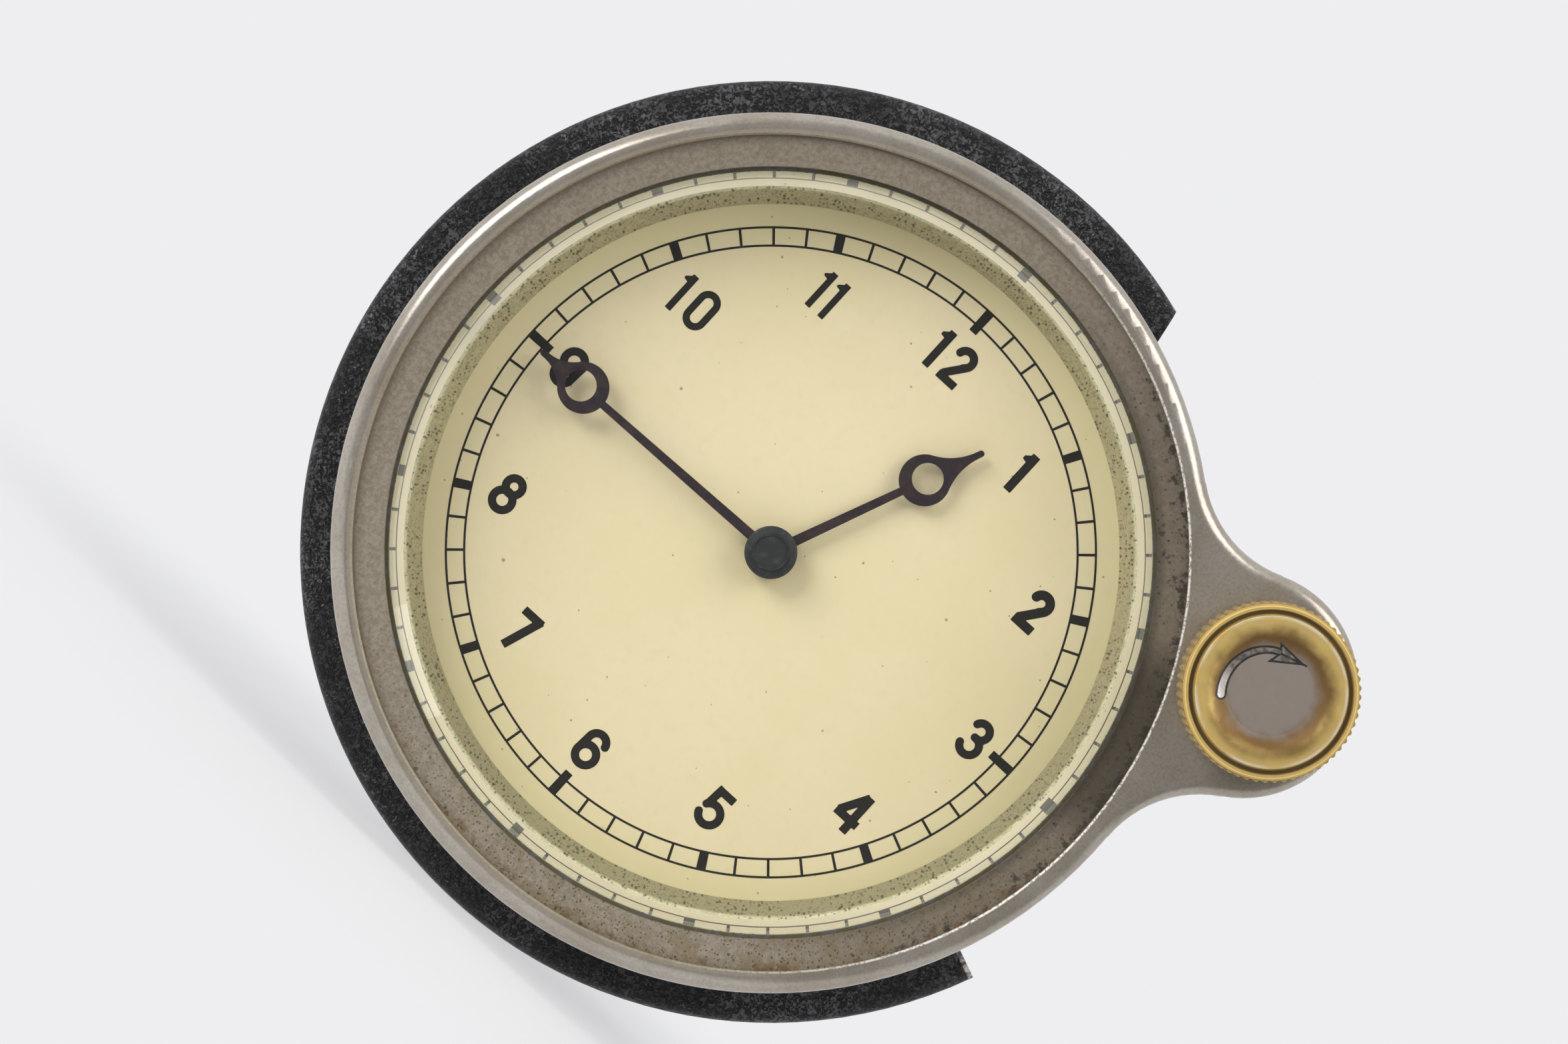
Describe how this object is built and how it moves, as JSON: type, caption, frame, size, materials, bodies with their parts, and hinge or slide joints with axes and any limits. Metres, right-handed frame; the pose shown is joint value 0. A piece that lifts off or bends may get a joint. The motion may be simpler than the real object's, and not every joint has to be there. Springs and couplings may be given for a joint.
{
  "type": "car dashboard clock",
  "caption": "Round hand-wound dashboard clock with a cream dial, bevelled glass and a winding and setting knob on an ear of its metal bezel.",
  "frame": {"origin": "on the clock's axis, in the plane of the panel seat behind the flange", "axes": "the dial faces -Y, 12 o'clock is +Z, 3 o'clock is +X, and the case goes back into the panel along +Y"},
  "size_m": [0.1058, 0.0654, 0.099],
  "materials": {
    "nickel_plate": "worn nickel plate, matte with fine pits",
    "black_crackle": "black crackle paint",
    "brass": "satin",
    "steel": "satin",
    "blued_steel": "dark blued",
    "black_boss": "satin black",
    "dial_cream": "matte cream with black print",
    "speckled_ring": "tarnished silver paint with dark specks",
    "glass": "clear bevelled glass",
    "gasket": "matte"
  },
  "bodies": {
    "case": {"case_can": "black_crackle", "rear_cover": "black_crackle", "bezel": "nickel_plate", "ear_base": "nickel_plate", "ear_bush": "brass", "bezel_screws": "steel", "ear_screws": "steel", "casing_ring": "brass", "casing_screws": "steel", "rear_studs": "steel", "stud_nuts": "steel", "glass": "glass", "glass_gasket": "gasket", "reflector_ring": "speckled_ring", "dial": "dial_cream", "dial_feet": "brass", "idler_stud": "steel", "click_spring": "steel", "wheel_studs": "steel", "front_plate": "brass", "back_plate": "brass", "pillars": "brass", "plate_screws": "steel", "hairspring": "blued_steel", "balance_cock": "brass"},
    "sleeve": {"sliding_sleeve": "brass"},
    "knob": {"knob": "brass", "knob_shaft": "steel", "clutch": "steel"},
    "winding_pinion": {"winding_pinion": "steel"},
    "winding_idler": {"winding_idler": "brass"},
    "ratchet": {"ratchet_wheel": "steel", "barrel_arbor": "steel"},
    "click": {"click": "steel"},
    "minute_hand": {"minute_hand": "blued_steel", "hand_cap": "black_boss", "cannon_pinion": "steel"},
    "minute_wheel": {"minute_wheel": "brass"},
    "hour_hand": {"hour_hand": "blued_steel", "hour_wheel": "brass"},
    "setting_wheel": {"setting_wheel": "brass"},
    "setting_idler": {"setting_idler": "brass"},
    "setting_pinion": {"setting_pinion": "steel"},
    "barrel": {"barrel": "brass", "barrel_cover": "brass", "mainspring": "blued_steel"},
    "centre_wheel": {"centre_wheel": "brass", "centre_arbor": "steel"},
    "third_wheel": {"third_wheel": "brass", "third_arbor": "steel"},
    "fourth_wheel": {"fourth_wheel": "brass", "fourth_arbor": "steel"},
    "escape_wheel": {"escape_wheel": "brass", "escape_arbor": "steel"},
    "pallet_lever": {"pallet_lever": "steel"},
    "balance": {"balance_wheel": "brass", "balance_staff": "steel"}
  },
  "joints": [
    {"name": "knob_pull", "type": "slide", "parent": "case", "child": "sleeve", "axis": [0, -1, 0], "range_m": [0, 0.0015]},
    {"name": "knob_turn", "type": "hinge", "parent": "sleeve", "child": "knob", "pos_m": [0.04651, 0, 0.0237], "axis": [0, -1, 0], "continuous": true},
    {"name": "winding_pinion_turn", "type": "hinge", "parent": "case", "child": "winding_pinion", "pos_m": [0.04651, 0, 0.0237], "axis": [0, -1, 0], "continuous": true},
    {"name": "winding_idler_turn", "type": "hinge", "parent": "case", "child": "winding_idler", "pos_m": [0.03208, 0, 0.01634], "axis": [0, -1, 0], "continuous": true},
    {"name": "ratchet_turn", "type": "hinge", "parent": "case", "child": "ratchet", "pos_m": [0.01894, 0, -0.00155], "axis": [0, -1, 0], "continuous": true},
    {"name": "click_lift", "type": "hinge", "parent": "case", "child": "click", "pos_m": [0.02277, 0, -0.01585], "axis": [0, 1, 0], "range_deg": [0, 4]},
    {"name": "hands_set", "type": "hinge", "parent": "case", "child": "minute_hand", "pos_m": [0, 0, 0], "axis": [0, -1, 0], "continuous": true},
    {"name": "minute_wheel_turn", "type": "hinge", "parent": "case", "child": "minute_wheel", "pos_m": [0.00217, 0, 0.00811], "axis": [0, -1, 0], "continuous": true},
    {"name": "hour_hand_turn", "type": "hinge", "parent": "case", "child": "hour_hand", "pos_m": [0, 0, 0], "axis": [0, -1, 0], "continuous": true},
    {"name": "setting_wheel_turn", "type": "hinge", "parent": "case", "child": "setting_wheel", "pos_m": [0.012, 0, 0.01271], "axis": [0, -1, 0], "continuous": true},
    {"name": "setting_idler_turn", "type": "hinge", "parent": "case", "child": "setting_idler", "pos_m": [0.03208, 0, 0.01634], "axis": [0, -1, 0], "continuous": true},
    {"name": "setting_pinion_turn", "type": "hinge", "parent": "case", "child": "setting_pinion", "pos_m": [0.04651, 0, 0.0237], "axis": [0, -1, 0], "continuous": true},
    {"name": "train_turn", "type": "hinge", "parent": "case", "child": "fourth_wheel", "pos_m": [-0.01625, 0, 0.00922], "axis": [0, -1, 0], "continuous": true},
    {"name": "third_wheel_turn", "type": "hinge", "parent": "case", "child": "third_wheel", "pos_m": [-0.01418, 0, -0.0025], "axis": [0, -1, 0], "continuous": true},
    {"name": "centre_wheel_turn", "type": "hinge", "parent": "case", "child": "centre_wheel", "pos_m": [0, 0, 0], "axis": [0, -1, 0], "continuous": true},
    {"name": "barrel_turn", "type": "hinge", "parent": "case", "child": "barrel", "pos_m": [0.01894, 0, -0.00155], "axis": [0, -1, 0], "continuous": true},
    {"name": "escape_wheel_turn", "type": "hinge", "parent": "case", "child": "escape_wheel", "pos_m": [-0.01047, 0, 0.01922], "axis": [0, -1, 0], "continuous": true},
    {"name": "lever_swing", "type": "hinge", "parent": "case", "child": "pallet_lever", "pos_m": [-0.00427, 0, 0.02148], "axis": [0, -1, 0], "range_deg": [-2, 2]},
    {"name": "balance_swing", "type": "hinge", "parent": "case", "child": "balance", "pos_m": [0.00472, 0, 0.02195], "axis": [0, -1, 0], "range_deg": [-135, 135], "stiffness_Nm_per_rad": 0.000011}
  ],
  "couplings": [
    {"joint": "winding_pinion_turn", "follows": "knob_turn", "ratio": 1},
    {"joint": "winding_idler_turn", "follows": "knob_turn", "ratio": -0.35},
    {"joint": "ratchet_turn", "follows": "knob_turn", "ratio": 0.41176},
    {"joint": "minute_wheel_turn", "follows": "hands_set", "ratio": -0.33333},
    {"joint": "hour_hand_turn", "follows": "hands_set", "ratio": 0.083333},
    {"joint": "setting_wheel_turn", "follows": "hands_set", "ratio": 0.46154},
    {"joint": "setting_idler_turn", "follows": "hands_set", "ratio": -0.32308},
    {"joint": "setting_pinion_turn", "follows": "hands_set", "ratio": 0.92308},
    {"joint": "third_wheel_turn", "follows": "train_turn", "ratio": -0.13333},
    {"joint": "centre_wheel_turn", "follows": "train_turn", "ratio": 0.016667},
    {"joint": "barrel_turn", "follows": "train_turn", "ratio": -0.003125},
    {"joint": "escape_wheel_turn", "follows": "train_turn", "ratio": -10}
  ]
}
